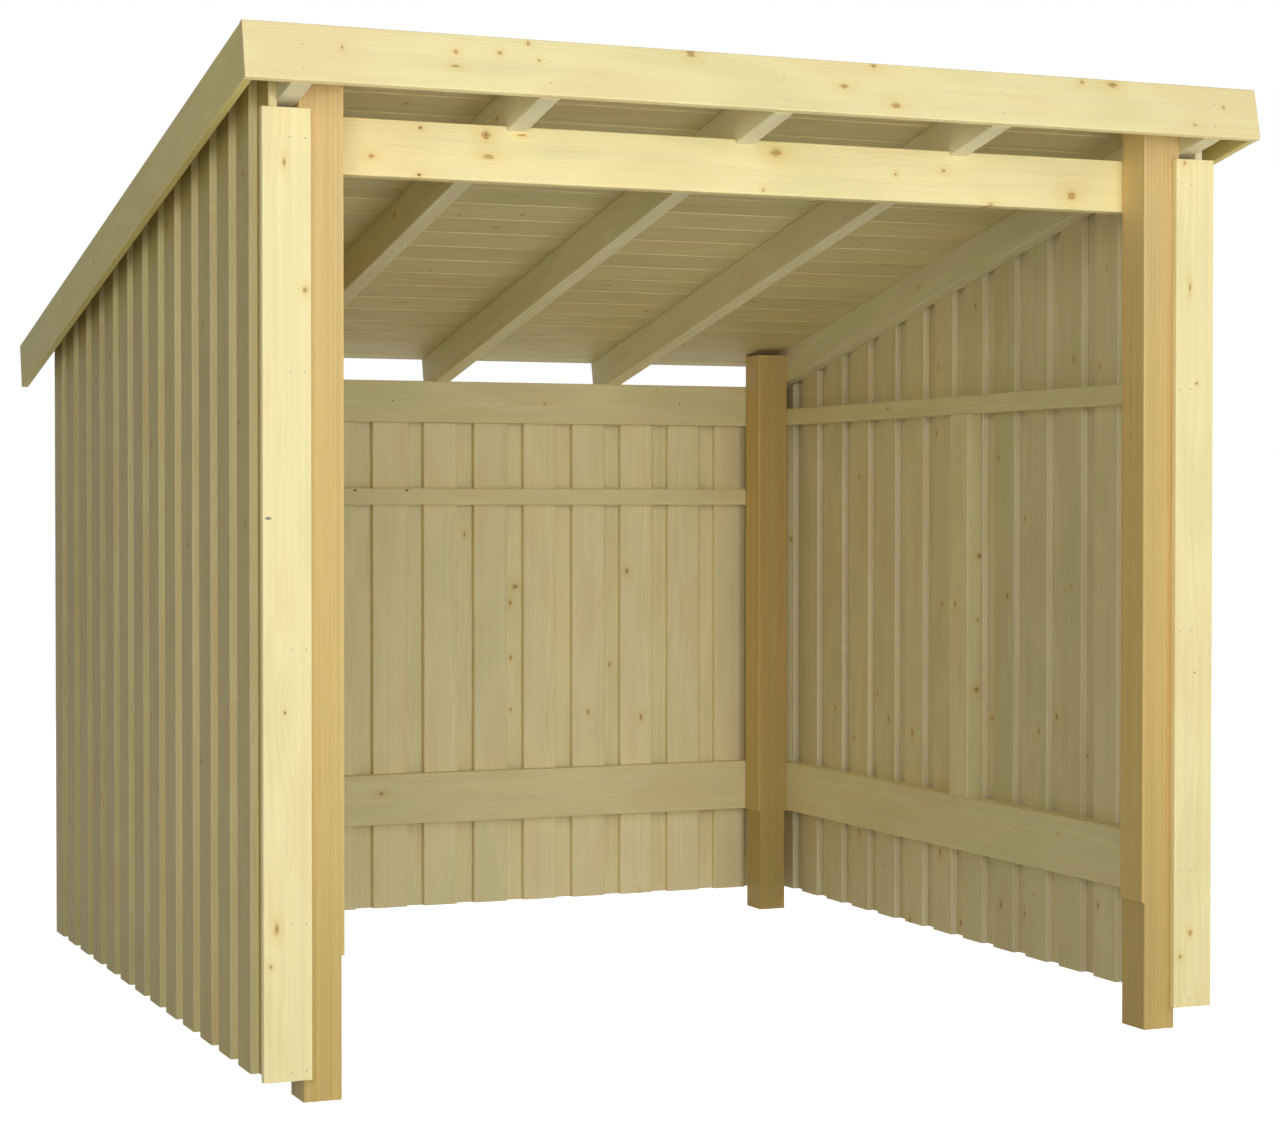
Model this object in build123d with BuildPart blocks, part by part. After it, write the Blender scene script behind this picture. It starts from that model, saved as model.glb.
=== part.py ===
from build123d import *
import os
from math import cos, radians, sin, tan

# Bike shelter: an open timber frame with a mono-pitch roof and board-on-board walls on three sides.
# Millimetres, Z up, X along the open front, Y from the open front to the back.
# The origin is on the ground under the middle of the roof.

# Frame
frame_width = 2122
frame_depth = 2140
post = 95
foot_height = 297
foot_rebate = 6.5
post_arris = 4

# Roof
roof_pitch = 12.16
roof_width = 2408
front_overhang = 90
eave_top = 2184.5
trim_thick = 19
trim_height = 120
trim_proud = 7
trim_arris = 3
verge_length = 2443
roof_board_thick = 20
roof_board_cover = 115
first_joint = 54
roof_run = 2400
v_groove = 3
tongue_length = 8
tongue_thick = 6
groove_clearance = 0.5
joint_gap = 0.6
felt_thick = 3
felt_sheet = 1000
felt_lap = 100
felt_ramp = 10

# Framing timber
timber_thick = 45
timber_arris = 3
rafter_depth = 95
rafter_spacing = 539
middle_rafter_x = -13
header_height = 120
header_top = 2030
small_rail = 48
lower_rail_height = 145
side_upper_rail_top = 1515
back_top_rail_height = 120
back_top_rail_top = 1584
back_middle_rail_top = 1272
stud_width = 95
stud_middle = 1016

# Cladding
board_thick = 19
board_width = 103
board_bottom = 50
board_arris = 2
side_inner_count = 14
side_board_pitch = 160.8
back_inner_count = 15
back_board_pitch = 156
side_board_head_gap = 4
back_board_top = 1557
corner_board_top = 2026

# Derived places
pitch = radians(roof_pitch)
eave_y = (trim_height * sin(pitch) - verge_length * cos(pitch)) / 2
front_y = eave_y + front_overhang
back_y = front_y + frame_depth
post_face = frame_width / 2
wall_face = post_face + timber_thick
inner_face = wall_face + board_thick
outer_face = inner_face + board_thick
deck_top = trim_proud
deck_underside = deck_top + roof_board_thick
deck_half = roof_width / 2 - trim_thick
lower_rail_top = foot_height + lower_rail_height
back_rail_y = back_y + timber_thick
back_inner_y = back_rail_y + board_thick

slope_dir = (0, cos(pitch), -sin(pitch))
roof_normal = (0, sin(pitch), cos(pitch))


def roof_point(run, depth):
    """Y and Z at a run down the slope from the front eave and a depth square to the slope."""
    y = eave_y + run * cos(pitch) - depth * sin(pitch)
    z = eave_top - run * sin(pitch) - depth * cos(pitch)
    return y, z


def roof_height(y, depth):
    """Z over a plan position on the plane that lies this depth under the top of the roof trim."""
    return eave_top - (y - eave_y) * tan(pitch) - depth / cos(pitch)


def cross_plane(run):
    """A plane square to the slope: local x along the eave, local y down through the roof."""
    y, z = roof_point(run, 0)
    return Plane(origin=(0, y, z), x_dir=(1, 0, 0), z_dir=slope_dir)


def side_plane(x):
    """A plane seen from the side: local x down the slope, local y up through the roof."""
    return Plane(origin=(x, eave_y, eave_top), x_dir=slope_dir, z_dir=(1, 0, 0))


def save(piece, name):
    piece.part.label = name
    export_step(piece.part, f"parts/{name}.step")


os.makedirs("parts", exist_ok=True)


# Posts: square, cut level where their back edge meets the roof boards.
# Below the lower rail both side faces are rebated.
def make_post(name, side, post_front):
    middle = (side * (post_face - post / 2), post_front + post / 2)
    top = roof_height(post_front + post, deck_underside)
    with BuildPart() as piece:
        with BuildSketch(Plane.XY) as foot:
            with Locations(middle):
                Rectangle(post - 2 * foot_rebate, post)
            fillet(foot.vertices(), radius=post_arris)
        extrude(amount=foot_height)
        with BuildSketch(Plane.XY.offset(foot_height)) as shaft:
            with Locations(middle):
                Rectangle(post, post)
            fillet(shaft.vertices(), radius=post_arris)
        extrude(amount=top - foot_height)
    save(piece, name)


for side, side_name in ((-1, "left"), (1, "right")):
    make_post(f"post_front_{side_name}", side, front_y)
    make_post(f"post_back_{side_name}", side, back_y - post)


# Level timbers that run across the shelter, from one X to its mirror
def make_cross_timber(name, half_length, near_y, top, height):
    with BuildPart() as piece:
        with BuildSketch(Plane.YZ.offset(-half_length)) as end:
            with Locations((near_y + timber_thick / 2, top - height / 2)):
                Rectangle(timber_thick, height)
            fillet(end.vertices(), radius=timber_arris)
        extrude(amount=2 * half_length)
    save(piece, name)


make_cross_timber("header_beam", post_face, front_y + post, header_top, header_height)
make_cross_timber("back_top_rail", wall_face, back_y, back_top_rail_top, back_top_rail_height)
make_cross_timber("back_middle_rail", wall_face, back_y, back_middle_rail_top, small_rail)
make_cross_timber("back_lower_rail", wall_face, back_y, lower_rail_top, lower_rail_height)


# Rafters: square-cut ends, with level seats where they rest on the header and the back top rail.
# The outer two stand beside the posts, so they miss the header.
def make_rafter(name, middle_x, on_header):
    seats = [(back_y, back_top_rail_top)]
    if on_header:
        seats.append((front_y + post, header_top))
    with BuildPart() as piece:
        with BuildSketch(cross_plane(trim_thick)) as end:
            with Locations((middle_x, deck_underside + rafter_depth / 2)):
                Rectangle(timber_thick, rafter_depth)
            fillet(end.vertices(), radius=timber_arris)
        extrude(amount=roof_run - trim_thick)
        for seat_y, seat_top in seats:
            with BuildSketch(Plane.XY.offset(seat_top)):
                with Locations((middle_x, seat_y + timber_thick / 2)):
                    Rectangle(2 * timber_thick, timber_thick)
            extrude(amount=-rafter_depth, mode=Mode.SUBTRACT)
    save(piece, name)


for side, side_name in ((-1, "left"), (1, "right")):
    make_rafter(f"rafter_{side_name}", side * (post_face + timber_thick / 2), False)
    make_rafter(f"rafter_centre_{side_name}", middle_rafter_x + side * rafter_spacing, True)
make_rafter("rafter_centre", middle_rafter_x, True)


# Roof boards: tongued and grooved along the eave direction, with a V at each joint below.
# The two edge boards are ripped to suit, so they have a plain outer edge.
def board_outline(start, stop, grooved, tongued):
    top = -deck_top
    bottom = -deck_underside
    middle = (top + bottom) / 2
    tongue = tongue_thick / 2
    groove = tongue + groove_clearance
    outline = [(start, top), (stop, top)]
    if tongued:
        outline += [
            (stop, middle + tongue),
            (stop + tongue_length, middle + tongue),
            (stop + tongue_length, middle - tongue),
            (stop, middle - tongue),
            (stop, bottom + v_groove),
            (stop - v_groove, bottom),
        ]
    else:
        outline.append((stop, bottom))
    if grooved:
        outline += [
            (start + v_groove, bottom),
            (start, bottom + v_groove),
            (start, middle - groove),
            (start + tongue_length, middle - groove),
            (start + tongue_length, middle + groove),
            (start, middle + groove),
        ]
    else:
        outline.append((start, bottom))
    return outline


joints = []
joint = first_joint
while joint < roof_run:
    joints.append(joint)
    joint += roof_board_cover

starts = [trim_thick] + [joint + joint_gap for joint in joints]
stops = joints + [roof_run]
with BuildPart() as roof_boards:
    for start, stop in zip(starts, stops):
        with BuildSketch(side_plane(-deck_half)):
            with BuildLine():
                Polyline(*board_outline(start, stop, start > trim_thick, stop < roof_run), close=True)
            make_face()
        extrude(amount=2 * deck_half)
save(roof_boards, "roof_boards")


# Roofing felt: sheets laid along the eave from the back up, each lapped over the one below it
# and bonded to it. The lowest sheet is folded down over the back edge of the roof boards.
felt_top = felt_thick - deck_top
felt_step = felt_sheet - felt_lap
felt_outline = [(trim_thick, -deck_top), (trim_thick, felt_top)]
for lap_end in (roof_run - 2 * felt_step, roof_run - felt_step):
    lap_start = lap_end - felt_lap
    felt_outline += [
        (lap_start, felt_top),
        (lap_start + felt_ramp, felt_top + felt_thick),
        (lap_end, felt_top + felt_thick),
        (lap_end, felt_top),
    ]
felt_outline += [
    (roof_run + felt_thick, felt_top),
    (roof_run + felt_thick, -deck_underside),
    (roof_run, -deck_underside),
    (roof_run, -deck_top),
]
with BuildPart() as roof_felt:
    with BuildSketch(side_plane(-deck_half)):
        with BuildLine():
            Polyline(*felt_outline, close=True)
        make_face()
    extrude(amount=2 * deck_half)
save(roof_felt, "roof_felt")


# Fascia: tilted with the roof, across the ends of the verge boards
with BuildPart() as front_fascia:
    with BuildSketch(side_plane(-roof_width / 2)) as fascia_end:
        with Locations((trim_thick / 2, -trim_height / 2)):
            Rectangle(trim_thick, trim_height)
        fillet(fascia_end.vertices(), radius=trim_arris)
    extrude(amount=roof_width)
save(front_fascia, "front_fascia")

# Verge boards: over the ends of the roof boards, running past the back eave
for side, side_name in ((-1, "left"), (1, "right")):
    with BuildPart() as verge_board:
        with BuildSketch(cross_plane(trim_thick)) as verge_end:
            with Locations((side * (roof_width - trim_thick) / 2, trim_height / 2)):
                Rectangle(trim_thick, trim_height)
            fillet(verge_end.vertices(), radius=trim_arris)
        extrude(amount=verge_length - trim_thick)
    save(verge_board, f"verge_board_{side_name}")


# Side wall rails: level, on the outer faces of the posts
def make_side_rail(name, side, top, height):
    with BuildPart() as piece:
        with BuildSketch(Plane.XZ.offset(-front_y)) as end:
            with Locations((side * (post_face + timber_thick / 2), top - height / 2)):
                Rectangle(timber_thick, height)
            fillet(end.vertices(), radius=timber_arris)
        extrude(amount=-frame_depth)
    save(piece, name)


# Studs between the two rails of a side wall
def make_stud(name, side, middle, width):
    with BuildPart() as piece:
        with BuildSketch(Plane.XY.offset(lower_rail_top)) as foot:
            with Locations((side * (post_face + timber_thick / 2), front_y + middle)):
                Rectangle(timber_thick, width)
            fillet(foot.vertices(), radius=timber_arris)
        extrude(amount=side_upper_rail_top - small_rail - lower_rail_top)
    save(piece, name)


# Vertical boards of a side wall, cut at the top to the slope of the roof
def make_side_boards(name, side, near_x, fronts):
    head = Plane(origin=(0, eave_y, roof_height(eave_y, deck_underside + side_board_head_gap)),
                 x_dir=(1, 0, 0), z_dir=roof_normal)
    with BuildPart() as piece:
        with BuildSketch(Plane.XY.offset(board_bottom)) as ends:
            with Locations(*[(side * (near_x + board_thick / 2), y + board_width / 2) for y in fronts]):
                Rectangle(board_thick, board_width)
            chamfer(ends.vertices(), length=board_arris)
        extrude(amount=eave_top - board_bottom)
        split(bisect_by=head, keep=Keep.BOTTOM)
    save(piece, name)


side_inner_fronts = [front_y + side_board_pitch * place for place in range(side_inner_count)]
side_outer_fronts = [y + side_board_pitch / 2 for y in side_inner_fronts[:-1]]
end_stud = timber_thick / 2

for side, side_name in ((-1, "left"), (1, "right")):
    make_side_rail(f"{side_name}_upper_rail", side, side_upper_rail_top, small_rail)
    make_side_rail(f"{side_name}_lower_rail", side, lower_rail_top, lower_rail_height)
    make_stud(f"{side_name}_front_stud", side, end_stud, timber_thick)
    make_stud(f"{side_name}_middle_stud", side, stud_middle, stud_width)
    make_stud(f"{side_name}_back_stud", side, frame_depth - end_stud, timber_thick)
    make_side_boards(f"{side_name}_inner_boards", side, wall_face, side_inner_fronts)
    make_side_boards(f"{side_name}_outer_boards", side, inner_face, side_outer_fronts)


# Vertical boards of the back wall, laid out from the middle and cut level under the rafters.
# The outermost inner boards are ripped flush with the ends of the rails.
def make_back_boards(name, near_y, middles):
    with BuildPart() as piece:
        with BuildSketch(Plane.XY.offset(board_bottom)) as ends:
            for middle in middles:
                left = max(middle - board_width / 2, -wall_face)
                right = min(middle + board_width / 2, wall_face)
                with Locations(((left + right) / 2, near_y + board_thick / 2)):
                    Rectangle(right - left, board_thick)
            chamfer(ends.vertices(), length=board_arris)
        extrude(amount=back_board_top - board_bottom)
    save(piece, name)


first_middle = -back_board_pitch * (back_inner_count - 1) / 2
back_inner_middles = [first_middle + back_board_pitch * place for place in range(back_inner_count)]
back_outer_middles = [x + back_board_pitch / 2 for x in back_inner_middles[:-1]]
make_back_boards("back_inner_boards", back_rail_y, back_inner_middles)
make_back_boards("back_outer_boards", back_inner_y, back_outer_middles)


# Corner boards: over the front edges of the side walls, lapping onto the posts
for side, side_name in ((-1, "left"), (1, "right")):
    with BuildPart() as corner_board:
        with BuildSketch(Plane.XY.offset(board_bottom)) as corner_end:
            with Locations((side * (outer_face - board_width / 2), front_y - board_thick / 2)):
                Rectangle(board_width, board_thick)
            fillet(corner_end.vertices(), radius=trim_arris)
        extrude(amount=corner_board_top - board_bottom)
    save(corner_board, f"corner_board_{side_name}")
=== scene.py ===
# Bike shelter: the finish of every timber, the roofing felt, the nails, the light and the camera.
# Metres, Z up, X along the open front, Y from the open front to the back.
import math

import bpy
from mathutils import Matrix, Vector


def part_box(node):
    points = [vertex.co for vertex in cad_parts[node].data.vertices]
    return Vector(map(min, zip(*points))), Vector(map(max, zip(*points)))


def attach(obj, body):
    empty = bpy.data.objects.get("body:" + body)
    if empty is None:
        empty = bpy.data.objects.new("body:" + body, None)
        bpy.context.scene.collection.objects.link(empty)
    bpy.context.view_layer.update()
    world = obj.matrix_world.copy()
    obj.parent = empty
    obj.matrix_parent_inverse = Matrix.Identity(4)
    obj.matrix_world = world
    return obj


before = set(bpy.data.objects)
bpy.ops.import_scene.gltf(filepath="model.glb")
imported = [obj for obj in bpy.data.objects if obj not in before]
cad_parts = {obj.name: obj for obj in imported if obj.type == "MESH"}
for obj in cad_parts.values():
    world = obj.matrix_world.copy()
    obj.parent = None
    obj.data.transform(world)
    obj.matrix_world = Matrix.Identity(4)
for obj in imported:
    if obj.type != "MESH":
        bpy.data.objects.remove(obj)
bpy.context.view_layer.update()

# Timber sizes and spacings
ROOF_PITCH = math.radians(12.16)
BOARD_WIDTH = 0.103
SIDE_SPACING = 0.1608
SIDE_INNER_COUNT = 14
BACK_SPACING = 0.156
BACK_INNER_COUNT = 15
ROOF_BOARD_COVER = 0.115
FIRST_ROOF_JOINT = 0.054
LAMELLA = 0.0317
FELT_SHEET = 1.0
FELT_LAP = 0.1

# Nails: head radii, and how far they stand apart and from the timbers' edges
WALL_NAIL = 0.0020
TRIM_NAIL = 0.0017
CLOUT_NAIL = 0.0045
PAIR_GAP = 0.056
NAIL_SINK = 0.0003
CORNER_ROW_GAP = 0.030
CORNER_FOOT_GAP = 0.018
CORNER_TOP_GAP = 0.06
CORNER_MIDDLE_NAIL = 0.93
VERGE_NAIL_SPACING = 0.23
VERGE_FRONT_GAP = 0.05
VERGE_BACK_GAP = 0.09
VERGE_NAIL_DROP = 0.018
FASCIA_NAIL_DROPS = (0.045, 0.095)
CLOUT_SPACING = 0.09
CLOUT_EDGE_GAP = 0.03
FELT_THICKNESS = 0.003

# A nail head, in radii of the head, and how far a nail strays from its mark
HEAD_SIDES = 10
HEAD_BEVEL = 0.7
HEAD_HEIGHT = 0.34
NAIL_DRIFT = 0.0022
NAIL_SEED = 7

# Photograph frame and camera
PHOTO_WIDTH = 1280
PHOTO_HEIGHT = 1123
AXIS_X_PIXEL = 592.3
AXIS_Y_PIXEL = 552.4
LENS = 76.22
SENSOR_WIDTH = 36.0
CAMERA_PLACE = (-2.6058, -6.4229, 1.2190)
CAMERA_TURN = 0.3896
CAMERA_TILT = -0.0169

# Light: each lamp's place and power, all aimed at the middle of the shelter
LAMPS = {
    "front_lamp": ((1.1, -7.0, 1.3), 126.0),
    "high_lamp": ((0.2, -7.0, 5.0), 56.0),
    "left_lamp": ((-3.5, -5.6, 2.1), 86.0),
    "right_lamp": ((7.0, -3.0, 2.0), 76.0),
    "back_lamp": ((0.8, 7.5, 4.5), 160.0),
}
LAMP_TARGET = (0.0, 0.0, 1.1)
LAMP_SIZE = 2.4
SKY_LEVEL = 0.10
FLOOR_LEVEL = 0.8
# The floor shows just white where the sky alone lights it. It is darker only where the shelter
# hides the sky and little light of the lamps arrives.
FLOOR_GLOW = 1 - FLOOR_LEVEL * SKY_LEVEL
FLOOR_HALF = 40.0


# Shader expressions

class Wire:
    """A node's output socket that takes part in Python sums with numbers and other wires."""

    def __init__(self, tree, socket):
        self.tree = tree
        self.socket = socket

    def other(self, name):
        """Another output of the same node."""
        return Wire(self.tree, pick_socket(self.socket.node.outputs, name))

    def __add__(self, value):
        return self.tree.maths("ADD", self, value)

    def __radd__(self, value):
        return self.tree.maths("ADD", value, self)

    def __sub__(self, value):
        return self.tree.maths("SUBTRACT", self, value)

    def __rsub__(self, value):
        return self.tree.maths("SUBTRACT", value, self)

    def __mul__(self, value):
        return self.tree.maths("MULTIPLY", self, value)

    def __truediv__(self, value):
        return self.tree.maths("DIVIDE", self, value)

    def __abs__(self):
        return self.tree.maths("ABSOLUTE", self)


def pick_socket(sockets, key):
    """A socket by its number, its identifier or its name."""
    if isinstance(key, int):
        return sockets[key]
    for socket in sockets:
        if socket.identifier == key:
            return socket
    return sockets[key]


class Tree:
    """Builds one node tree."""

    def __init__(self, node_tree):
        self.node_tree = node_tree
        node_tree.nodes.clear()

    def add(self, kind, settings=None, sockets=None, output=0):
        """A node of a kind: its settings are set first, then its sockets get values or wires."""
        node = self.node_tree.nodes.new(kind)
        for name, value in (settings or {}).items():
            if name == "stops":
                set_stops(node.color_ramp, value)
            else:
                setattr(node, name, value)
        for key, value in (sockets or {}).items():
            socket = pick_socket(node.inputs, key)
            if isinstance(value, Wire):
                self.node_tree.links.new(value.socket, socket)
            else:
                socket.default_value = value
        if not node.outputs:
            return None
        return Wire(self, pick_socket(node.outputs, output))

    def maths(self, operation, *values):
        return self.add("ShaderNodeMath", {"operation": operation}, dict(enumerate(values)))

    def vectors(self, operation, *values, output=0):
        return self.add("ShaderNodeVectorMath", {"operation": operation}, dict(enumerate(values)), output)

    def upper(self, first, second):
        return self.maths("MAXIMUM", first, second)

    def line(self, value, slope, start):
        """A value times a slope, from a start."""
        return self.maths("MULTIPLY_ADD", value, slope, start)

    def fade(self, value, start, stop, first=0.0, last=1.0):
        """The first level up to start, the last from stop on, and a smooth step between them."""
        return self.add("ShaderNodeMapRange", {"interpolation_type": "SMOOTHSTEP"},
                        {"Value": value, "From Min": start, "From Max": stop,
                         "To Min": first, "To Max": last})

    def rim(self, place, half, depths):
        """From 0 to 1 over two depths below the rim, on both sides of a middle."""
        return self.fade(abs(place), half - depths[0], half - depths[1])

    def vector(self, x, y, z):
        return self.add("ShaderNodeCombineXYZ", None, {"X": x, "Y": y, "Z": z})

    def split(self, place):
        parts = self.add("ShaderNodeSeparateXYZ", None, {"Vector": place})
        return parts, parts.other("Y"), parts.other("Z")

    def split_colour(self, colour):
        parts = self.add("ShaderNodeSeparateColor", None, {"Color": colour})
        return parts, parts.other("Green"), parts.other("Blue")

    def length(self, place):
        return self.vectors("LENGTH", place, output="Value")

    def blend(self, factor, first, second):
        """A colour on the way from the first colour to the second."""
        return self.add("ShaderNodeMix", {"data_type": "RGBA"},
                        {"Factor_Float": factor, "A_Color": first, "B_Color": second}, "Result_Color")

    def tint(self, factor, colour, tint):
        """A colour seen through a share of a tint."""
        return self.add("ShaderNodeMix", {"data_type": "RGBA", "blend_type": "MULTIPLY"},
                        {"Factor_Float": factor, "A_Color": colour, "B_Color": tint}, "Result_Color")

    def tone(self, colour, level):
        """A colour made lighter or darker by a level around 1."""
        return self.add("ShaderNodeVectorMath", {"operation": "SCALE"}, {0: colour, "Scale": level})

    def noise(self, place, detail=1.0, scale=1.0, flat=True):
        return self.add("ShaderNodeTexNoise", {"noise_dimensions": "2D" if flat else "3D"},
                        {"Vector": place, "Scale": scale, "Detail": detail})


def set_stops(ramp, stops):
    """Sets a ramp's stops from pairs of a place and a colour."""
    while len(ramp.elements) > 1:
        ramp.elements.remove(ramp.elements[-1])
    for number, (place, colour) in enumerate(stops):
        stop = ramp.elements[0] if number == 0 else ramp.elements.new(place)
        stop.position = place
        stop.color = colour


def paint(red, green, blue):
    """A colour socket's value from the 0 to 255 levels that a picture shows."""
    levels = [value / 255 for value in (red, green, blue)]
    linear = [v / 12.92 if v <= 0.04045 else ((v + 0.055) / 1.055) ** 2.4 for v in levels]
    return (*linear, 1.0)


def grey(level):
    return (level, level, level, 1.0)


def new_material(name):
    material = bpy.data.materials.new(name)
    material.use_nodes = True
    return material, Tree(material.node_tree)


RELIEF_STRENGTH = 0.5
SHINE = 0.25


def finish_surface(tree, colour, roughness, relief, relief_depth, metallic=0.0):
    """The shader at the end of a finish: its colour, its roughness and its relief as bump."""
    normal = tree.add("ShaderNodeBump", None,
                      {"Height": relief, "Distance": relief_depth, "Strength": RELIEF_STRENGTH})
    surface = tree.add("ShaderNodeBsdfPrincipled", None,
                       {"Base Color": colour, "Roughness": roughness, "Normal": normal,
                        "Metallic": metallic, "Specular IOR Level": SHINE})
    tree.add("ShaderNodeOutputMaterial", None, {"Surface": surface})


# How a timber lies

# Steps between the draws of two timbers and between two boards' places along the grain, and how fast
# the pattern changes with depth
TIMBER_STEP = 31.0
GRAIN_SHIFT = 37.0
THROUGH_SHARE = 1.3

# Scattered spots: how much of its cell a spot may move in, and the margin it keeps
SPOT_ROOM = (0.6, 0.6, 0.0)
SPOT_MARGIN = (0.2, 0.2, 0.0)
SMALLEST_RADIUS = 0.00001


def turned_box(node, turn):
    """The lowest and highest corner of a CAD node, seen in axes turned about X with the roof."""
    spin = Matrix.Rotation(turn, 3, "X")
    corners = [spin @ vertex.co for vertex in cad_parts[node].data.vertices]
    low = Vector([min(corner[axis] for corner in corners) for axis in range(3)])
    high = Vector([max(corner[axis] for corner in corners) for axis in range(3)])
    return low, high


class Lay:
    """Which way the grain of a node's timber runs, and where its boards stand."""

    def __init__(self, node, axes, turn=0.0, count=1, spacing=None, width=None, first=None):
        low, high = turned_box(node, turn)
        along, across, through = ("XYZ".index(letter) for letter in axes)
        self.axes = axes
        self.turn = turn
        self.spacing = spacing
        self.width = width if width else high[across] - low[across]
        self.first = (low[across] + high[across]) / 2
        if spacing:
            self.first -= spacing * (count - 1) / 2
        if first is not None:
            self.first = first
        self.middle = (low[along] + high[along]) / 2
        self.half_length = (high[along] - low[along]) / 2
        self.top = high[across]
        self.depth = (low[through] + high[through]) / 2
        self.number = float(sorted(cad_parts).index(node))


class Grain:
    """The wires that every timber's finish starts from: places along, across and through the grain,
    measured from the middle of each board, and draws that differ from board to board."""

    def __init__(self, tree, lay):
        self.tree = tree
        self.lay = lay
        self.place = tree.add("ShaderNodeTexCoord", output="Object")
        if lay.turn:
            self.place = tree.add("ShaderNodeMapping", {"vector_type": "POINT"},
                                  {"Vector": self.place, "Rotation": (lay.turn, 0.0, 0.0)})
        parts = dict(zip("XYZ", tree.split(self.place)))
        self.along, across, through = (parts[letter] for letter in lay.axes)
        self.through = through - lay.depth
        self.wide = across - lay.first
        self.across = self.wide
        board = lay.number * TIMBER_STEP
        if lay.spacing:
            number = tree.maths("FLOOR", tree.line(self.across, 1 / lay.spacing, 0.5))
            self.across = tree.line(number, -lay.spacing, self.across)
            board = number + board
        draw = tree.add("ShaderNodeTexWhiteNoise", {"noise_dimensions": "1D"}, {"W": board}, "Color")
        self.draws = tree.split_colour(draw)
        shifted = tree.line(self.draws[2], GRAIN_SHIFT, self.along)
        self.skin = tree.vector(shifted, tree.line(self.through, THROUGH_SHARE, self.across), 0.0)

    def stretched(self, along_scale, across_scale):
        """A flat place vector for noise that is drawn out along the grain."""
        return self.tree.vectors("MULTIPLY", self.skin, (along_scale, across_scale, 0.0))

    def fibre(self, along_scale, across_scale):
        """Fine fibres along the grain, cheap enough to take the relief from."""
        scales = [along_scale if letter == self.lay.axes[0] else across_scale for letter in "XYZ"]
        place = self.tree.vectors("MULTIPLY", self.place, scales)
        return self.tree.noise(place, detail=0.0, flat=False)

    def spots(self, along_cell, across_cell, share, reach, stretch):
        """Scattered spots, one in a share of the cells: how many of its radii away the nearest is."""
        tree = self.tree
        place = tree.vectors("MULTIPLY_ADD", self.skin, (1 / along_cell, 1 / across_cell, 0.0),
                             (0.5, 0.5, 0.0))
        cell = tree.vectors("FLOOR", place)
        draw = tree.add("ShaderNodeTexWhiteNoise", {"noise_dimensions": "2D"}, {"Vector": cell}, "Color")
        spot = tree.vectors("MULTIPLY_ADD", draw, SPOT_ROOM, SPOT_MARGIN)
        offset = tree.vectors("SUBTRACT", tree.vectors("FRACTION", place), spot)
        offset = tree.vectors("MULTIPLY", offset, (along_cell / stretch, across_cell, 0.0))
        size_draw = tree.split_colour(draw)[2]
        radius = tree.line(size_draw, reach / share, reach - reach / share)
        radius = tree.upper(radius, SMALLEST_RADIUS)
        return tree.length(offset) / radius


# In the finishes below, a pair of scales is along and across the grain, and a pair of depths is
# below the rim. A fade lists where it starts and stops and then, where they aren't 0 and 1, its
# levels there. A roughness or a level over the fibres lists its slope and its start.

# Planed pine: tints over the pale wood of each group of timbers, the first four darker than it, the
# next four paler, for the boards' edges, and the last one for the stains of old nails. Of the paler
# four, the first is rubbed wear. The second and third are painted light on the side walls' board
# edges, which catch the front light while the faces lie in shade. The second also holds the paler
# sawn wood of the edges

DEEP_TINT = (0.82, 0.71, 0.50, 1.0)
ROSY_TINT = (0.93, 0.79, 0.74, 1.0)
GREEN_TINT = (0.76, 0.79, 0.64, 1.0)
END_TINT = (0.80, 0.74, 0.66, 1.0)
PALE_TINT = (1.06, 1.06, 1.08, 1.0)
# Painted light on the left wall's board edges, which catch the front light, together with their paler
# sawn wood
PAINTED_LIGHT_EDGE_TINT = (1.72, 1.86, 2.90, 1.0)
# Painted light on the right wall's board edges, which catch the front light
PAINTED_LIGHT_INNER_EDGE_TINT = (1.18, 1.20, 1.40, 1.0)
TONGUE_TINT = (1.20, 1.22, 1.28, 1.0)
STAIN_TINT = (0.14, 0.17, 0.26, 1.0)
KNOT_REACH = 6.0
KNOT_STOPS = [
    (0.00, (0.36, 0.22, 0.13, 1.0)), (0.10, (0.42, 0.27, 0.16, 1.0)), (0.14, (0.70, 0.52, 0.38, 1.0)),
    (0.19, (0.66, 0.48, 0.34, 1.0)), (0.22, (0.52, 0.35, 0.22, 1.0)), (0.27, (0.92, 0.82, 0.68, 1.0)),
    (0.46, (0.98, 0.93, 0.85, 1.0)), (1.00, (1.0, 1.0, 1.0, 1.0)),
]
RING_STOPS = [(0.0, grey(0.0)), (0.45, grey(0.1)), (0.85, grey(1.0)), (1.0, grey(0.0))]
RING_WIDTH = 0.0046
PITH_DEPTH = 0.055
PITH_SWING = 0.13
PITH_WAVER = 0.06
RING_FLOW = 2.5
FLOW_FADE = 0.5
STREAK_SCALES = (1.4, 75.0)
PATCH_SCALES = (2.3, 9.0)
FIBRE_SCALES = (16.0, 700.0)
KNOT_CELL = (0.34, 0.103)
KNOT_STRETCH = 1.6
KNOT_TEAR = 1.2
RING_SHOW = (0.35, 0.62, 0.15)
GREEN_PATCH = (0.50, 0.72, 0.0, 0.25)
ROSY_PATCH = (0.28, 0.48, 0.3, 0.0)
STAIN_EDGE = (0.5, 1.1, 0.85, 0.0)
END_DEPTHS = (0.0008, 0.0002)
ARRIS_DEPTHS = (0.004, 0.001)
STREAK_LEVEL = 0.14
LOWEST_LEVEL = 0.93
FIBRE_RELIEF = 0.0004
PINE_ROUGHNESS = (0.2, 0.46)


def pine_looks(pale, **changes):
    """How the pine of a group of timbers looks, where it differs from plain planed trim."""
    looks = {"pale": pale, "ring_depth": 0.30, "hue_change": 0.0, "level_change": 0.0,
             "knot_share": 0.3, "knot_radius": 0.006, "arris_tint": PALE_TINT}
    return looks | changes


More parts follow.
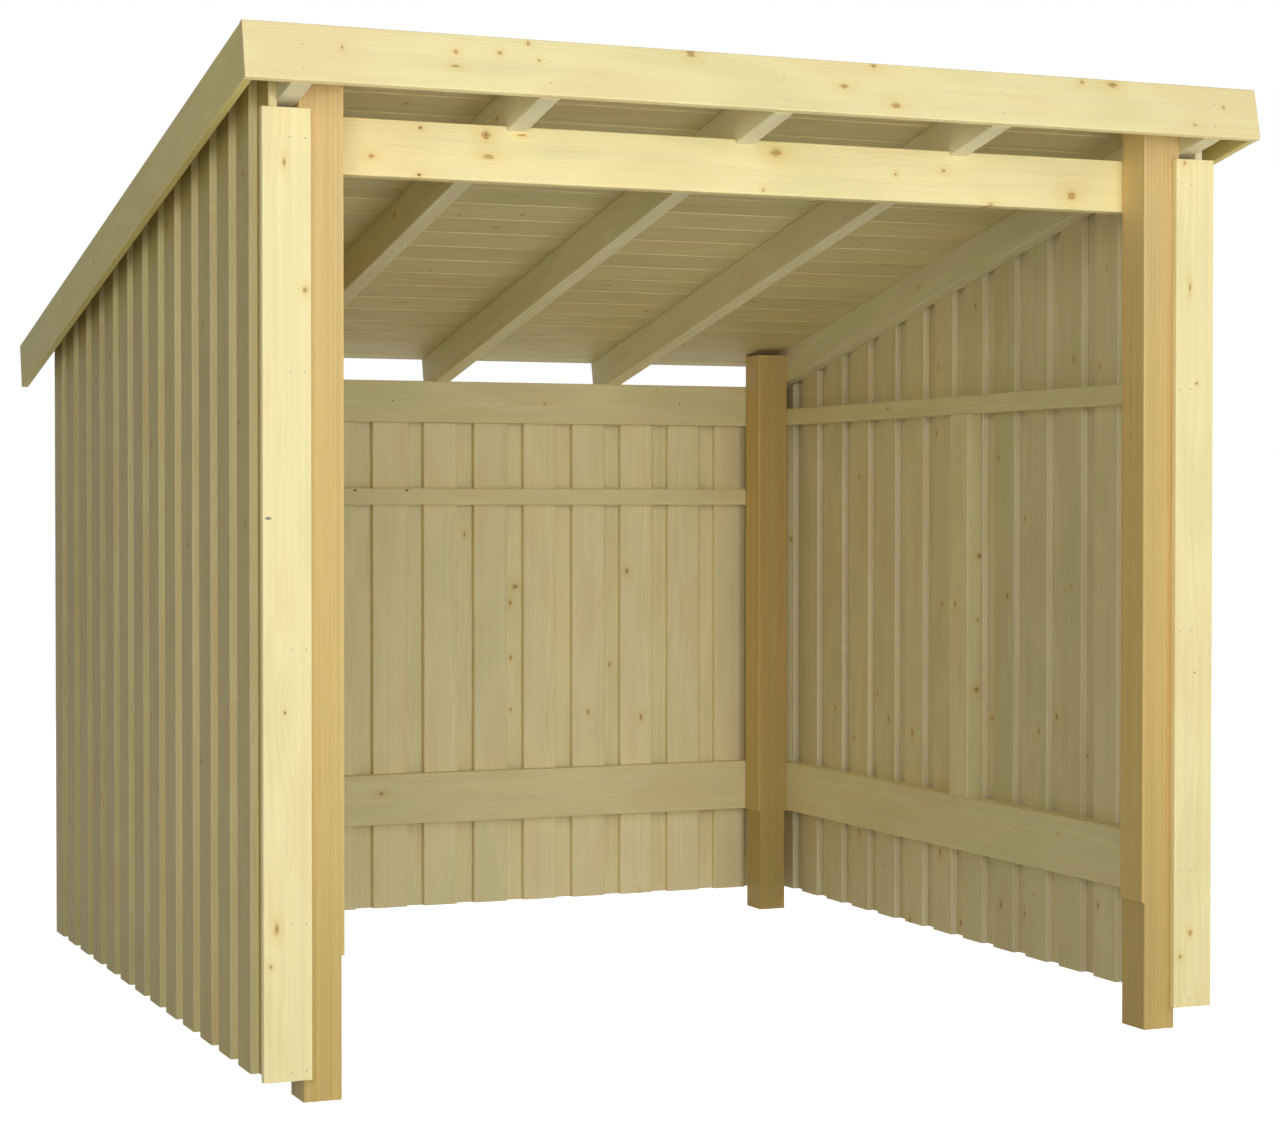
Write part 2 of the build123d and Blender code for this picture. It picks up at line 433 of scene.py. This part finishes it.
TRIM_PINE = pine_looks(paint(254, 241, 181), ring_depth=0.24, knot_share=0.0)
# Painted shade: the verge boards are the trim's timber, made darker for their sides in shade
VERGE_SHADED_PINE = pine_looks(paint(230, 215, 136), ring_depth=0.24, knot_share=0.15)
# Painted shade: the left wall is the same timber as the others, made darker for the side that the light
# barely reaches
LEFT_WALL_SHADED_PINE = pine_looks(paint(195, 179, 110), hue_change=0.24, level_change=0.14, knot_share=0.6,
                            knot_radius=0.0052, arris_tint=PAINTED_LIGHT_EDGE_TINT)
# Painted shade: the right wall is the same timber as the back wall, made a little darker for its inner
# face in shade
RIGHT_WALL_SHADED_PINE = pine_looks(paint(235, 225, 182), hue_change=0.30, level_change=0.1, knot_share=0.5,
                             knot_radius=0.0056, arris_tint=PAINTED_LIGHT_INNER_EDGE_TINT)
# Painted light: the back wall is the same timber as the side walls, made lighter to stand for the light
# it gets through the open front
BACK_WALL_LIT_PINE = pine_looks(paint(250, 240, 196), hue_change=0.28, level_change=0.08, knot_share=0.2)
ROOF_PINE = pine_looks(paint(232, 221, 172), ring_depth=0.45, hue_change=0.25, level_change=0.12,
                       knot_share=0.4, knot_radius=0.005, arris_tint=TONGUE_TINT)
RAFTER_PINE = pine_looks(paint(243, 237, 200), hue_change=0.15, level_change=0.06)
FRAME_PINE = pine_looks(paint(240, 230, 182), hue_change=0.15, level_change=0.06)


def marked_gap(grain, marks):
    """How many of its radii away the nearest marked place is."""
    tree = grain.tree
    flat = tree.vector(grain.along, grain.wide, 0.0)
    nearest = None
    for along, across, radius, stretch in marks:
        scales = (1 / (radius * stretch), 1 / radius, 0.0)
        offset = (-along * scales[0], -across * scales[1], 0.0)
        gap = tree.length(tree.vectors("MULTIPLY_ADD", flat, scales, offset))
        nearest = tree.maths("MINIMUM", nearest, gap) if nearest else gap
    return nearest


def make_wood(name, lay, looks, marked_knots, marked_stains):
    """Planed softwood: growth rings round a pith, and knots that the grain flows round."""
    material, tree = new_material(name)
    grain = Grain(tree, lay)
    first_draw, second_draw, third_draw = grain.draws
    streak = tree.noise(grain.stretched(*STREAK_SCALES), detail=2.0)
    patch = tree.noise(grain.stretched(*PATCH_SCALES), detail=1.0)
    fibre = grain.fibre(*FIBRE_SCALES)

    # Knots, scattered ones and marked ones, each with a core, a ring and a halo
    gap = marked_gap(grain, marked_knots) if marked_knots else None
    if looks["knot_share"]:
        scattered = grain.spots(*KNOT_CELL, looks["knot_share"], looks["knot_radius"], KNOT_STRETCH)
        gap = tree.maths("MINIMUM", gap, scattered) if gap else scattered
    torn = tree.line(fibre, KNOT_TEAR, gap) / KNOT_REACH
    knot = tree.add("ShaderNodeValToRGB", {"stops": KNOT_STOPS}, {"Fac": torn})
    flow = tree.maths("POWER", FLOW_FADE, gap) * RING_FLOW

    # Growth rings round a pith that lies beside the board
    pith_across = tree.line(first_draw, -PITH_SWING, tree.line(patch, PITH_WAVER, grain.across))
    from_pith = tree.length(tree.vector(pith_across, grain.through + PITH_DEPTH, 0.0))
    turns = tree.line(from_pith, 1 / RING_WIDTH, flow)
    ring = tree.add("ShaderNodeValToRGB", {"stops": RING_STOPS}, {"Fac": tree.maths("FRACT", turns)})
    ring = tree.fade(streak, *RING_SHOW, looks["ring_depth"]) * ring

    colour = tree.tint(ring, looks["pale"], DEEP_TINT)
    colour = tree.tint(tree.fade(patch, *GREEN_PATCH), colour, GREEN_TINT)
    colour = tree.tint(tree.fade(patch, *ROSY_PATCH), colour, ROSY_TINT)
    if looks["hue_change"]:
        hue = tree.blend(first_draw, GREEN_TINT, ROSY_TINT)
        colour = tree.tint(second_draw * looks["hue_change"], colour, hue)
    colour = tree.vectors("MULTIPLY", colour, knot)

    # Slate-blue stains of old nails, sawn ends, and the arrises: rubbed wear on most timbers, and painted
    # light on the side walls' board edges
    if marked_stains:
        stain = tree.fade(marked_gap(grain, marked_stains), *STAIN_EDGE)
        colour = tree.tint(stain, colour, STAIN_TINT)
    end = tree.rim(grain.along - lay.middle, lay.half_length, END_DEPTHS)
    colour = tree.tint(end, colour, END_TINT)
    arris = tree.rim(grain.across, lay.width / 2, ARRIS_DEPTHS)
    colour = tree.tint(arris, colour, looks["arris_tint"])

    level = tree.line(streak, STREAK_LEVEL, LOWEST_LEVEL)
    if looks["level_change"]:
        level = tree.line(third_draw, -looks["level_change"], level + looks["level_change"] / 2)
    colour = tree.tone(colour, level)
    finish_surface(tree, colour, tree.line(fibre, *PINE_ROUGHNESS), fibre, FIBRE_RELIEF)
    return material


# Glued laminated posts

LAMINATE = {
    # Painted light and shade: the posts are lighter towards the top and darker towards the foot, for
    # light that is stronger higher up
    "top": paint(225, 195, 132),
    "middle": paint(220, 190, 119),
    "foot": paint(207, 181, 112),
    "dark": (0.62, 0.52, 0.42, 1.0),
    "rosy": (1.0, 0.93, 0.92, 1.0),
    # Paler arrises: rubbed wear and a painted highlight where the rounded arrises catch the light
    "arris": (1.16, 1.2, 1.26, 1.0),
}
# Painted shade: the back posts are the same laminate, made darker because they stand deeper in the
# shelter
BACK_SHADED_LAMINATE = LAMINATE | {
    "top": paint(212, 182, 120),
    "middle": paint(206, 177, 110),
    "foot": paint(194, 169, 104),
}
LAMELLA_STEP = 7.0
LAMELLA_STREAK_SCALES = (0.7, 170.0)
LAMELLA_BAND_SCALES = (0.5, 38.0)
LAMELLA_FIBRE_SCALES = (12.0, 750.0)
POST_ARRIS_DEPTHS = (0.006, 0.0015)
GLUE_LINE = (0.0003, 0.0012, 0.22, 0.0)
LAMELLA_STREAK = (0.42, 0.70, 0.0, 0.2)
LAMELLA_BAND = (0.45, 0.70)
FOOT_HEIGHTS = (0.05, 0.9, 1.0, 0.0)
TOP_HEIGHTS = (1.1, 2.1)
LAMELLA_LEVEL = 0.07
LAMINATE_LEVEL = (0.12, 0.91)
LAMINATE_ROUGHNESS = (0.2, 0.44)


def make_laminate(name, lay, looks):
    """Laminated softwood: straight fine grain in glued lamellas, rosy above and olive at the foot,
    lighter above and darker at the foot as painted light and shade.
    """
    material, tree = new_material(name)
    grain = Grain(tree, lay)
    lamella = tree.maths("FLOOR", grain.across / LAMELLA + 0.5)
    draw = tree.add("ShaderNodeTexWhiteNoise", {"noise_dimensions": "1D"},
                    {"W": lamella + lay.number * LAMELLA_STEP}, "Color")
    level_draw, hue_draw, _ = tree.split_colour(draw)
    fibre = grain.fibre(*LAMELLA_FIBRE_SCALES)
    streak = tree.noise(grain.stretched(*LAMELLA_STREAK_SCALES), detail=2.0)
    band = tree.noise(grain.stretched(*LAMELLA_BAND_SCALES), detail=1.0)
    glue = tree.fade(abs(abs(grain.across) - LAMELLA / 2), *GLUE_LINE)
    # Painted light and shade: lighter towards the top, darker towards the foot
    colour = tree.blend(tree.fade(grain.along, *TOP_HEIGHTS), looks["middle"], looks["top"])
    colour = tree.blend(tree.fade(grain.along, *FOOT_HEIGHTS), colour, looks["foot"])
    colour = tree.tint(tree.fade(streak, *LAMELLA_STREAK), colour, looks["dark"])
    colour = tree.tint(tree.fade(band, *LAMELLA_BAND) * hue_draw, colour, looks["rosy"])
    colour = tree.tint(glue, colour, looks["dark"])
    # Paler arrises: rubbed wear and a painted highlight where the rounded arrises catch the light
    arris = tree.rim(grain.across, lay.width / 2, POST_ARRIS_DEPTHS)
    colour = tree.tint(arris, colour, looks["arris"])
    end = tree.rim(grain.along - lay.middle, lay.half_length, END_DEPTHS)
    colour = tree.tint(end, colour, looks["dark"])
    level = tree.line(level_draw, LAMELLA_LEVEL, tree.line(fibre, *LAMINATE_LEVEL))
    colour = tree.tone(colour, level)
    finish_surface(tree, colour, tree.line(fibre, *LAMINATE_ROUGHNESS), fibre, FIBRE_RELIEF)
    return material


# Roofing felt and zinc

FELT = {
    "dark": paint(58, 60, 58),
    "grey": paint(98, 101, 97),
    "pale": paint(146, 147, 139),
    "dust": paint(124, 120, 104),
}
GRIT_SCALE = 560.0
GRIT_RELIEF = 0.0009
STONE_RELIEF = 0.7
WORN_RELIEF = 0.3
FELT_ROUGHNESS = 0.92
STONE_GLOSS = 0.1
GREY_GRIT = (0.20, 0.90)
PALE_GRIT = (0.86, 0.92)
WORN_SCALE = 3.0
WORN_PATCH = (0.50, 0.75, 0.0, 0.4)
DUST_SCALE = 11.0
DUST_PATCH = (0.52, 0.78, 0.0, 0.35)
ZINC = {
    "dark": paint(146, 142, 126),
    "pale": paint(180, 176, 154),
    "rust": paint(126, 96, 66),
}
ZINC_MOTTLE_SCALE = 900.0
ZINC_RUST_SCALE = 9.0
RUST_PATCH = (0.56, 0.70, 0.0, 0.5)
ZINC_RELIEF = 0.0002
ZINC_ROUGHNESS = (0.2, 0.42)
ZINC_METALLIC = 0.3


def make_felt(name, looks):
    """Roofing felt faced with mineral grit, dusty and worn in patches."""
    material, tree = new_material(name)
    place = tree.add("ShaderNodeTexCoord", output="Object")
    stones = tree.add("ShaderNodeTexVoronoi", None, {"Vector": place, "Scale": GRIT_SCALE}, "Color")
    grey_draw, pale_draw, _ = tree.split_colour(stones)
    worn = tree.noise(place, detail=4.0, scale=WORN_SCALE, flat=False)
    dusty = tree.noise(place, detail=3.0, scale=DUST_SCALE, flat=False)
    colour = tree.blend(tree.fade(grey_draw, *GREY_GRIT), looks["dark"], looks["grey"])
    colour = tree.blend(tree.fade(pale_draw, *PALE_GRIT), colour, looks["pale"])
    colour = tree.blend(tree.fade(worn, *WORN_PATCH), colour, looks["dark"])
    colour = tree.blend(tree.fade(dusty, *DUST_PATCH), colour, looks["dust"])
    relief = (1 - stones.other("Distance")) * STONE_RELIEF + worn * WORN_RELIEF
    finish_surface(tree, colour, FELT_ROUGHNESS - grey_draw * STONE_GLOSS, relief, GRIT_RELIEF)
    return material


def make_zinc(name, looks):
    """Galvanised nail heads, mottled and here and there rusty."""
    material, tree = new_material(name)
    place = tree.add("ShaderNodeTexCoord", output="Object")
    mottle = tree.noise(place, detail=2.0, scale=ZINC_MOTTLE_SCALE, flat=False)
    rust = tree.noise(place, detail=2.0, scale=ZINC_RUST_SCALE, flat=False)
    colour = tree.blend(mottle, looks["dark"], looks["pale"])
    colour = tree.blend(tree.fade(rust, *RUST_PATCH), colour, looks["rust"])
    finish_surface(tree, colour, tree.line(mottle, *ZINC_ROUGHNESS), mottle, ZINC_RELIEF,
                   ZINC_METALLIC)
    return material


# Finishes on the CAD nodes. A marked knot is its place along and across the timber, its radius, and
# how many times longer it is along the grain. Its place across is measured from the timber's middle.

FASCIA_KNOTS = (
    (-1.000, -0.046, 0.0035, 0.7), (-0.758, -0.039, 0.0045, 1.1), (-0.761, -0.070, 0.0028, 3.0),
    (-0.662, -0.035, 0.0034, 1.2), (-0.598, -0.010, 0.0042, 0.8), (-0.576, -0.046, 0.0026, 1.2),
    (-0.229, -0.008, 0.0070, 1.2), (0.130, -0.058, 0.0048, 1.9), (0.208, -0.006, 0.0040, 1.6),
    (0.253, -0.094, 0.0055, 1.8), (0.737, -0.010, 0.0050, 1.0), (0.817, -0.012, 0.0062, 1.9),
    (1.027, -0.096, 0.0028, 1.0), (1.112, -0.049, 0.0030, 0.9),
)
HEADER_KNOTS = (
    (-0.769, 2.016, 0.0032, 1.5), (-0.622, 2.008, 0.0085, 1.0), (-0.616, 1.963, 0.0052, 2.2),
    (-0.540, 2.012, 0.0024, 3.4), (-0.772, 1.917, 0.0036, 1.4), (-0.877, 1.952, 0.0040, 1.6),
    (0.064, 2.005, 0.0085, 1.5), (0.364, 1.971, 0.0032, 1.0), (0.829, 1.943, 0.0085, 1.3),
    (0.032, 1.921, 0.0034, 0.9), (0.612, 1.911, 0.0050, 1.4), (0.488, 1.985, 0.0032, 1.6),
)
CORNER_KNOTS = {
    "left": ((1.658, -1.054, 0.0045, 1.3), (1.915, -1.097, 0.0028, 3.0), (0.362, -1.116, 0.0040, 2.6),
             (0.286, -1.128, 0.0036, 1.2), (0.801, -1.098, 0.0026, 1.4)),
    "right": ((1.728, 1.078, 0.0034, 3.0), (1.506, 1.098, 0.0026, 1.2), (2.017, 1.063, 0.0032, 1.2),
              (0.223, 1.085, 0.0048, 1.3), (0.169, 1.058, 0.0036, 1.2)),
}
OTHER_KNOTS = {
    "right_middle_stud": ((1.087, 1.098, 0.0075, 0.8), (0.730, 1.090, 0.0065, 1.0),
                          (0.916, 1.093, 0.0026, 1.0)),
    "back_outer_boards": ((0.981, 0.240, 0.0085, 0.9), (0.770, 0.226, 0.0036, 1.8),
                          (0.616, 0.226, 0.0030, 1.6)),
    "back_inner_boards": ((1.025, 0.593, 0.0050, 1.6), (0.583, 0.639, 0.0045, 1.8)),
}
STAINS = {
    "corner_board_left": ((1.195, -1.132, 0.0075, 0.5), (0.801, -1.098, 0.0020, 1.0)),
    "corner_board_right": ((0.832, 1.095, 0.0034, 0.7), (1.506, 1.098, 0.0022, 1.0)),
    "header_beam": ((-0.769, 2.016, 0.0026, 1.2), (-0.772, 1.917, 0.0026, 1.2)),
    "back_top_rail": ((-0.161, 1.525, 0.0040, 0.6), (0.746, 1.530, 0.0036, 0.8)),
    "back_middle_rail": ((-0.276, 1.266, 0.0046, 1.3), (-0.119, 1.266, 0.0046, 1.3)),
    "left_inner_boards": ((1.291, 0.094, 0.0060, 0.5),),
}


def dress(node, material):
    """Gives a CAD node its finish."""
    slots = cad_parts[node].data.materials
    slots.clear()
    slots.append(material)


def dress_wood(lays, looks, marked_knots=None):
    """Finishes several nodes in pine, each with its own grain."""
    for node, lay in lays.items():
        knots, stains = ([(along, across - lay.first, radius, stretch)
                          for along, across, radius, stretch in marks.get(node, ())]
                         for marks in (marked_knots or OTHER_KNOTS, STAINS))
        dress(node, make_wood(f"{node}_pine", lay, looks, knots, stains))


def dress_posts():
    for end, looks in (("front", LAMINATE), ("back", BACK_SHADED_LAMINATE)):
        for side in ("left", "right"):
            node = f"post_{end}_{side}"
            dress(node, make_laminate(f"{node}_laminate", Lay(node, "ZXY"), looks))


def dress_trim():
    fascia = Lay("front_fascia", "XZY", ROOF_PITCH)
    lays = {"front_fascia": fascia, "header_beam": Lay("header_beam", "XZY")}
    knots = {
        "front_fascia": [(along, fascia.top + drop, radius, stretch)
                         for along, drop, radius, stretch in FASCIA_KNOTS],
        "header_beam": HEADER_KNOTS,
    }
    for side in ("left", "right"):
        lays[f"corner_board_{side}"] = Lay(f"corner_board_{side}", "ZXY")
        knots[f"corner_board_{side}"] = CORNER_KNOTS[side]
        verge = f"verge_board_{side}"
        dress_wood({verge: Lay(verge, "YZX", ROOF_PITCH)}, VERGE_SHADED_PINE)
    dress_wood(lays, TRIM_PINE, knots)


def dress_walls():
    for side, looks in (("left", LEFT_WALL_SHADED_PINE), ("right", RIGHT_WALL_SHADED_PINE)):
        for layer, count in (("inner", SIDE_INNER_COUNT), ("outer", SIDE_INNER_COUNT - 1)):
            node = f"{side}_{layer}_boards"
            dress_wood({node: Lay(node, "ZYX", 0.0, count, SIDE_SPACING, BOARD_WIDTH)}, looks)
    for layer, count in (("inner", BACK_INNER_COUNT), ("outer", BACK_INNER_COUNT - 1)):
        node = f"back_{layer}_boards"
        dress_wood({node: Lay(node, "ZXY", 0.0, count, BACK_SPACING, BOARD_WIDTH)}, BACK_WALL_LIT_PINE)


def dress_framing():
    for node in ("rafter_left", "rafter_centre_left", "rafter_centre", "rafter_centre_right",
                 "rafter_right"):
        dress_wood({node: Lay(node, "YZX", ROOF_PITCH)}, RAFTER_PINE)
    lays = {}
    for node in ("back_top_rail", "back_middle_rail", "back_lower_rail"):
        lays[node] = Lay(node, "XZY")
    for side in ("left", "right"):
        for node in (f"{side}_upper_rail", f"{side}_lower_rail"):
            lays[node] = Lay(node, "YZX")
        for place in ("front", "middle", "back"):
            lays[f"{side}_{place}_stud"] = Lay(f"{side}_{place}_stud", "ZXY")
    dress_wood(lays, FRAME_PINE)


def dress_roof():
    eave = turned_box("front_fascia", ROOF_PITCH)[0].y
    first = eave + FIRST_ROOF_JOINT - ROOF_BOARD_COVER / 2
    lay = Lay("roof_boards", "XYZ", ROOF_PITCH, spacing=ROOF_BOARD_COVER, width=ROOF_BOARD_COVER,
              first=first)
    dress_wood({"roof_boards": lay}, ROOF_PINE)
    dress("roof_felt", make_felt("roof_felt_grit", FELT))


# Nails

def cladding_rows(inner_count):
    """The two layers of a wall, their board counts and where the nails of a board stand."""
    return (("outer", inner_count - 1, (-PAIR_GAP / 2, PAIR_GAP / 2)), ("inner", inner_count, (0,)))


def middle_of(node, axis):
    low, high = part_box(node)
    return (low[axis] + high[axis]) / 2


def spread(first, last, spacing):
    """Even places from first to last, no further apart than the spacing."""
    count = math.ceil((last - first) / spacing)
    return [first + (last - first) * step / count for step in range(count + 1)]


def roof_place(x, run, height):
    """A point over the roof: a place down the slope and square to it, both in the turned axes."""
    return Matrix.Rotation(-ROOF_PITCH, 3, "X") @ Vector((x, run, height))


def side_wall_nails(side, sign):
    """Pairs through the outer boards and single nails through the inner ones, at rails and rafter."""
    outward = Vector((sign, 0, 0))
    rafter_low, rafter_high = turned_box(f"rafter_{side}", ROOF_PITCH)
    rafter_middle = (rafter_low.z + rafter_high.z) / 2
    heights = [middle_of(f"{side}_lower_rail", 2), middle_of(f"{side}_upper_rail", 2)]
    nails = []
    for layer, count, offsets in cladding_rows(SIDE_INNER_COUNT):
        low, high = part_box(f"{side}_{layer}_boards")
        face = sign * max(abs(low.x), abs(high.x))
        for board in range(count):
            for offset in offsets:
                y = low.y + BOARD_WIDTH / 2 + board * SIDE_SPACING + offset
                under_roof = (rafter_middle - y * math.sin(ROOF_PITCH)) / math.cos(ROOF_PITCH)
                for z in (*heights, under_roof):
                    nails.append((Vector((face, y, z)), outward, WALL_NAIL))
    return nails


def back_wall_nails():
    """The same pairs and single nails through the back wall's boards, at its three rails."""
    outward = Vector((0, 1, 0))
    heights = [middle_of(f"back_{level}_rail", 2) for level in ("lower", "middle", "top")]
    nails = []
    for layer, count, offsets in cladding_rows(BACK_INNER_COUNT):
        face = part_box(f"back_{layer}_boards")[1].y
        for board in range(count):
            for offset in offsets:
                x = (board - (count - 1) / 2) * BACK_SPACING + offset
                for z in heights:
                    nails.append((Vector((x, face, z)), outward, WALL_NAIL))
    return nails


def trim_nails():
    """Pairs through the corner boards and the fascia, and a row along each verge board."""
    nails = []
    forward = Vector((0, -1, 0))
    down_slope = roof_place(0, 1, 0)
    for side, sign in (("left", -1), ("right", 1)):
        low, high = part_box(f"corner_board_{side}")
        stud = sign * abs(middle_of(f"{side}_front_stud", 0))
        for x in (stud, stud - sign * CORNER_ROW_GAP):
            for z in (low.z + CORNER_FOOT_GAP, middle_of(f"{side}_lower_rail", 2), CORNER_MIDDLE_NAIL,
                      middle_of(f"{side}_upper_rail", 2), high.z - CORNER_TOP_GAP):
                nails.append((Vector((x, low.y, z)), forward, TRIM_NAIL))
        verge_low, verge_high = turned_box(f"verge_board_{side}", ROOF_PITCH)
        face = verge_low.x if sign < 0 else verge_high.x
        for run in spread(verge_low.y + VERGE_FRONT_GAP, verge_high.y - VERGE_BACK_GAP,
                          VERGE_NAIL_SPACING):
            place = roof_place(face, run, verge_high.z - VERGE_NAIL_DROP)
            nails.append((place, Vector((sign, 0, 0)), TRIM_NAIL))
    fascia_low, fascia_high = turned_box("front_fascia", ROOF_PITCH)
    for rafter in ("left", "centre_left", "centre", "centre_right", "right"):
        x = middle_of(f"rafter_{rafter}", 0)
        for drop in FASCIA_NAIL_DROPS:
            nails.append((roof_place(x, fascia_low.y, fascia_high.z - drop), -down_slope, TRIM_NAIL))
    return nails


def felt_nails():
    """Clout nails along each lap, along the front edge and along the back edge."""
    up = roof_place(0, 0, 1)
    low, high = turned_box("roof_felt", ROOF_PITCH)
    single = high.z - FELT_THICKNESS
    back_edge = high.y - FELT_THICKNESS
    places = spread(low.x + CLOUT_EDGE_GAP, high.x - CLOUT_EDGE_GAP, CLOUT_SPACING)
    nails = []
    for lap in (1, 2):
        lap_end = back_edge - lap * (FELT_SHEET - FELT_LAP)
        for x in places:
            nails.append((roof_place(x, lap_end - CLOUT_EDGE_GAP, high.z), up, CLOUT_NAIL))
    for x in places:
        nails.append((roof_place(x, back_edge - CLOUT_EDGE_GAP, single), up, CLOUT_NAIL))
        nails.append((roof_place(x, low.y + CLOUT_EDGE_GAP, single), up, CLOUT_NAIL))
    return nails


def nail_head_group():
    """Low bevelled heads on marked points: each faces the way of its point and takes its size."""
    group = bpy.data.node_groups.new("nail_heads", "GeometryNodeTree")
    for name, kind in (("Points", "NodeSocketGeometry"), ("Sides", "NodeSocketInt"),
                       ("Bevel", "NodeSocketFloat"), ("Height", "NodeSocketFloat"),
                       ("Drift", "NodeSocketFloat"), ("Seed", "NodeSocketInt"),
                       ("Finish", "NodeSocketMaterial")):
        group.interface.new_socket(name, in_out="INPUT", socket_type=kind)
    group.interface.new_socket("Heads", in_out="OUTPUT", socket_type="NodeSocketGeometry")
    tree = Tree(group)
    given = tree.add("NodeGroupInput", output="Points")
    facing = tree.add("GeometryNodeInputNamedAttribute", {"data_type": "FLOAT_VECTOR"},
                      {"Name": "facing"}, "Attribute")
    radius = tree.add("GeometryNodeInputNamedAttribute", {"data_type": "FLOAT"},
                      {"Name": "head_radius"}, "Attribute")
    drift = given.other("Drift")
    moved = tree.add("FunctionNodeRandomValue", {"data_type": "FLOAT_VECTOR"},
                     {"Min": (-1.0, -1.0, -1.0), "Max": (1.0, 1.0, 1.0), "Seed": given.other("Seed")},
                     "Value")
    off_face = tree.add("ShaderNodeVectorMath", {"operation": "PROJECT"}, {0: moved, 1: facing})
    in_face = tree.add("ShaderNodeVectorMath", {"operation": "SUBTRACT"}, {0: moved, 1: off_face})
    step = tree.add("ShaderNodeVectorMath", {"operation": "SCALE"}, {0: in_face, "Scale": drift})
    points = tree.add("GeometryNodeMeshToPoints", None, {"Mesh": given})
    placed = tree.add("GeometryNodeSetPosition", None, {"Geometry": points, "Offset": step})
    head = tree.add("GeometryNodeMeshCone", None,
                    {"Vertices": given.other("Sides"), "Radius Top": given.other("Bevel"),
                     "Radius Bottom": 1.0, "Depth": given.other("Height")}, "Mesh")
    turn = tree.add("FunctionNodeAlignRotationToVector", {"axis": "Z"}, {"Vector": facing})
    heads = tree.add("GeometryNodeInstanceOnPoints", None,
                     {"Points": placed, "Instance": head, "Rotation": turn,
                      "Scale": tree.vector(radius, radius, radius)})
    solid = tree.add("GeometryNodeRealizeInstances", None, {"Geometry": heads})
    finished = tree.add("GeometryNodeSetMaterial", None,
                        {"Geometry": solid, "Material": given.other("Finish")})
    tree.add("NodeGroupOutput", None, {"Heads": finished})
    return group


def make_nails():
    """All the nail heads, as one mesh on the shelter."""
    nails = [*side_wall_nails("left", -1), *side_wall_nails("right", 1), *back_wall_nails(),
             *trim_nails(), *felt_nails()]
    points = bpy.data.meshes.new("nail_points")
    points.from_pydata([place - facing * NAIL_SINK for place, facing, _ in nails], [], [])
    facings = points.attributes.new("facing", "FLOAT_VECTOR", "POINT")
    facings.data.foreach_set("vector", [part for _, facing, _ in nails for part in facing])
    radii = points.attributes.new("head_radius", "FLOAT", "POINT")
    radii.data.foreach_set("value", [radius for _, _, radius in nails])
    marked = bpy.data.objects.new("nail_points", points)
    bpy.context.scene.collection.objects.link(marked)
    group = nail_head_group()
    values = {"Sides": HEAD_SIDES, "Bevel": HEAD_BEVEL, "Height": HEAD_HEIGHT, "Drift": NAIL_DRIFT,
              "Seed": NAIL_SEED, "Finish": make_zinc("nail_zinc", ZINC)}
    modifier = marked.modifiers.new("nail_heads", "NODES")
    modifier.node_group = group
    for socket in group.interface.items_tree:
        if socket.name in values:
            modifier[socket.identifier] = values[socket.name]
    seen = marked.evaluated_get(bpy.context.evaluated_depsgraph_get())
    heads = bpy.data.objects.new("nail_heads", bpy.data.meshes.new_from_object(seen))
    bpy.context.scene.collection.objects.link(heads)
    bpy.data.objects.remove(marked)
    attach(heads, "root")


# Floor, light and camera

def make_floor():
    mesh = bpy.data.meshes.new("floor")
    corners = [(-FLOOR_HALF, -FLOOR_HALF, 0), (FLOOR_HALF, -FLOOR_HALF, 0),
               (FLOOR_HALF, FLOOR_HALF, 0), (-FLOOR_HALF, FLOOR_HALF, 0)]
    mesh.from_pydata(corners, [], [(0, 1, 2, 3)])
    floor = bpy.data.objects.new("floor", mesh)
    bpy.context.scene.collection.objects.link(floor)
    material, tree = new_material("studio_floor")
    ray = tree.add("ShaderNodeLightPath", output="Is Camera Ray")
    seen = tree.upper(ray, ray.other("Is Glossy Ray"))
    matt = tree.add("ShaderNodeBsdfDiffuse", None,
                    {"Color": (FLOOR_LEVEL, FLOOR_LEVEL, FLOOR_LEVEL, 1.0)})
    glow = tree.add("ShaderNodeEmission", None, {"Strength": seen * FLOOR_GLOW})
    both = tree.add("ShaderNodeAddShader", None, {0: matt, 1: glow})
    tree.add("ShaderNodeOutputMaterial", None, {"Surface": both})
    material.cycles.emission_sampling = "NONE"
    mesh.materials.append(material)


def make_light():
    for name, (place, power) in LAMPS.items():
        data = bpy.data.lights.new(name, "AREA")
        data.shape = "SQUARE"
        data.size = LAMP_SIZE
        data.energy = power
        lamp = bpy.data.objects.new(name, data)
        lamp.location = place
        aim = Vector(LAMP_TARGET) - Vector(place)
        lamp.rotation_euler = aim.to_track_quat("-Z", "Y").to_euler()
        bpy.context.scene.collection.objects.link(lamp)
    world = bpy.data.worlds.new("studio")
    world.use_nodes = True
    tree = Tree(world.node_tree)
    ray = tree.add("ShaderNodeLightPath", output="Is Camera Ray")
    seen = tree.upper(tree.upper(ray, ray.other("Is Glossy Ray")), ray.other("Is Transmission Ray"))
    sky = tree.add("ShaderNodeBackground", None,
                   {"Color": (1.0, 1.0, 1.0, 1.0), "Strength": SKY_LEVEL + seen * (1 - SKY_LEVEL)})
    tree.add("ShaderNodeOutputWorld", None, {"Surface": sky})
    bpy.context.scene.world = world


def make_camera():
    data = bpy.data.cameras.new("camera")
    data.sensor_width = SENSOR_WIDTH
    data.lens = LENS
    data.shift_x = (PHOTO_WIDTH / 2 - AXIS_X_PIXEL) / PHOTO_WIDTH
    data.shift_y = (AXIS_Y_PIXEL - PHOTO_HEIGHT / 2) / PHOTO_WIDTH
    camera = bpy.data.objects.new("camera", data)
    camera.location = CAMERA_PLACE
    camera.rotation_euler = (math.pi / 2 + CAMERA_TILT, 0.0, -CAMERA_TURN)
    bpy.context.scene.collection.objects.link(camera)
    bpy.context.scene.camera = camera


make_floor()
make_light()
make_camera()
dress_posts()
dress_trim()
dress_walls()
dress_framing()
dress_roof()
make_nails()

bpy.context.scene.view_settings.view_transform = "Standard"
